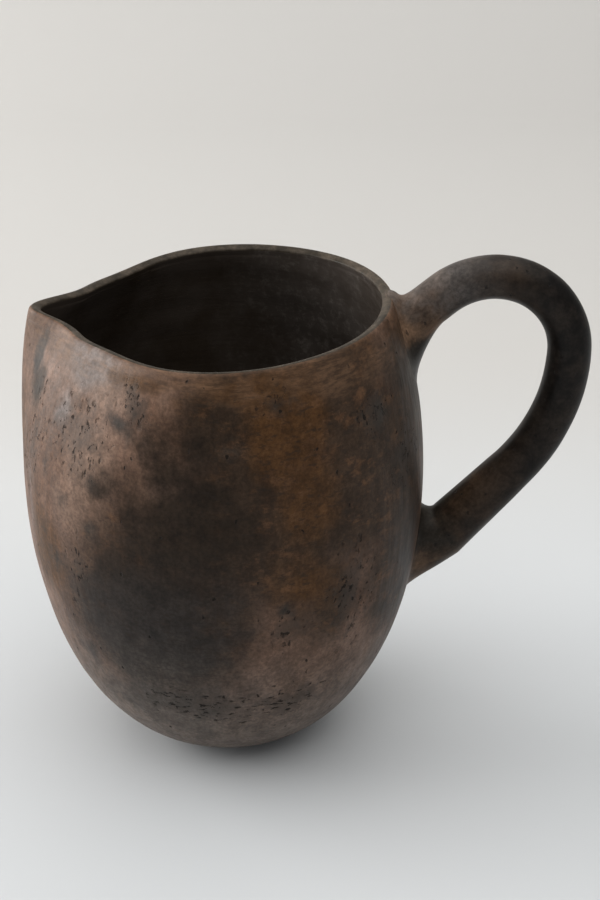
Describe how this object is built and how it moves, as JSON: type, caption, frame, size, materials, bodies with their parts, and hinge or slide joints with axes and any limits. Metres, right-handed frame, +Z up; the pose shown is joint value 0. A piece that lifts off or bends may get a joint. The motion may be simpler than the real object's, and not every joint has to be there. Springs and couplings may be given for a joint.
{
  "type": "pitcher",
  "caption": "Hand-built earthenware pitcher: egg-shaped body on a small flat foot, pinched spout and an arched round coil handle.",
  "frame": {"origin": "centre of the flat foot, on the surface that the pitcher stands on", "axes": "+Z up through the mouth, +X towards the handle, so the spout is on -X, and +Y across the pitcher"},
  "size_m": [0.2413, 0.171, 0.219],
  "materials": {
    "clay_body": "burnished satin earthenware, smoke-clouded brown",
    "clay_lip": "burnished satin earthenware, dark olive brown",
    "clay_handle": "burnished satin earthenware, near black",
    "clay_root": "burnished satin earthenware, dark brown"
  },
  "bodies": {
    "root": {"base_pad": "clay_body", "body_wall": "clay_body", "rim_lip": "clay_lip", "handle": "clay_handle", "upper_root": "clay_root", "lower_root": "clay_root"}
  },
  "joints": []
}
